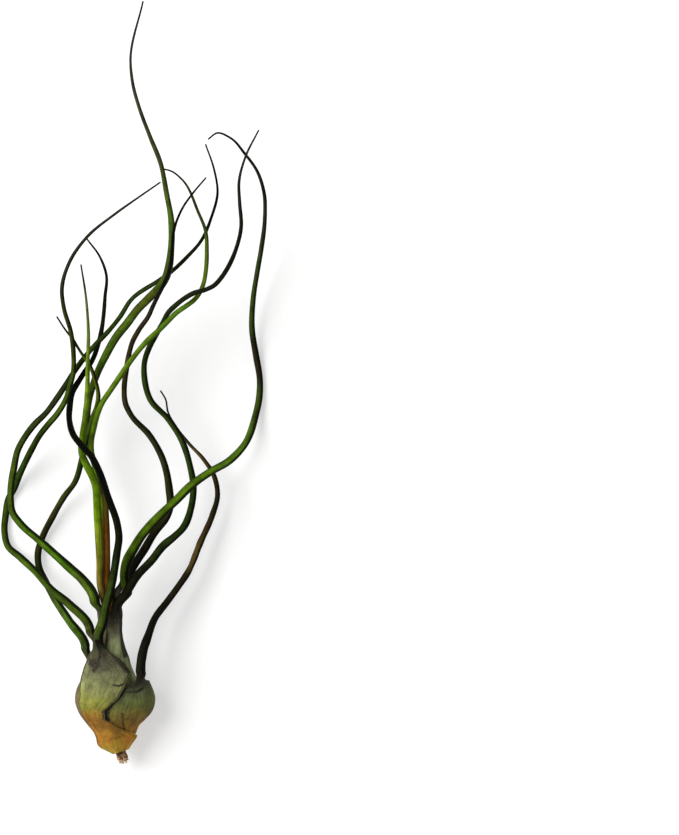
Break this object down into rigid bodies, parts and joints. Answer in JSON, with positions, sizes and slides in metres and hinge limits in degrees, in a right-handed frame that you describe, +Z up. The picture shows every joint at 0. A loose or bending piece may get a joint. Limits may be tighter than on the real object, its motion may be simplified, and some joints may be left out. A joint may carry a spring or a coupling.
{
  "type": "bulbosa air plant",
  "caption": "Bulbosa air plant: a hollow bulb of nested leaf sheaths whose rolled leaves wander out as long thin tubes to fine tips.",
  "frame": {"origin": "centre of the plant's outline on the surface it lies on", "axes": "+Y from the stem stub to the tallest leaf's tip, +Z up off the surface, +X across the plant to the right as the picture shows it"},
  "size_m": [0.094, 0.2652, 0.0613],
  "materials": {
    "leaf_old": "dark olive to purple-black leaf with an ochre sheath, satin with a fine grey bloom",
    "leaf_green": "mid green leaf with darker edges, satin",
    "leaf_young": "light green young leaf, orange-brown near its foot, satin",
    "dry_stem": "dry brown and tan stem fibre, rough"
  },
  "bodies": {
    "root": {"leaf_front": "leaf_old", "leaf_outer_right": "leaf_old", "leaf_low_left": "leaf_old", "leaf_left": "leaf_green", "leaf_right": "leaf_green", "leaf_upper_left": "leaf_green", "leaf_hooked": "leaf_green", "leaf_inner_right": "leaf_old", "leaf_tallest": "leaf_green", "leaf_arching": "leaf_young", "leaf_youngest": "leaf_young", "stem": "dry_stem"}
  },
  "joints": []
}
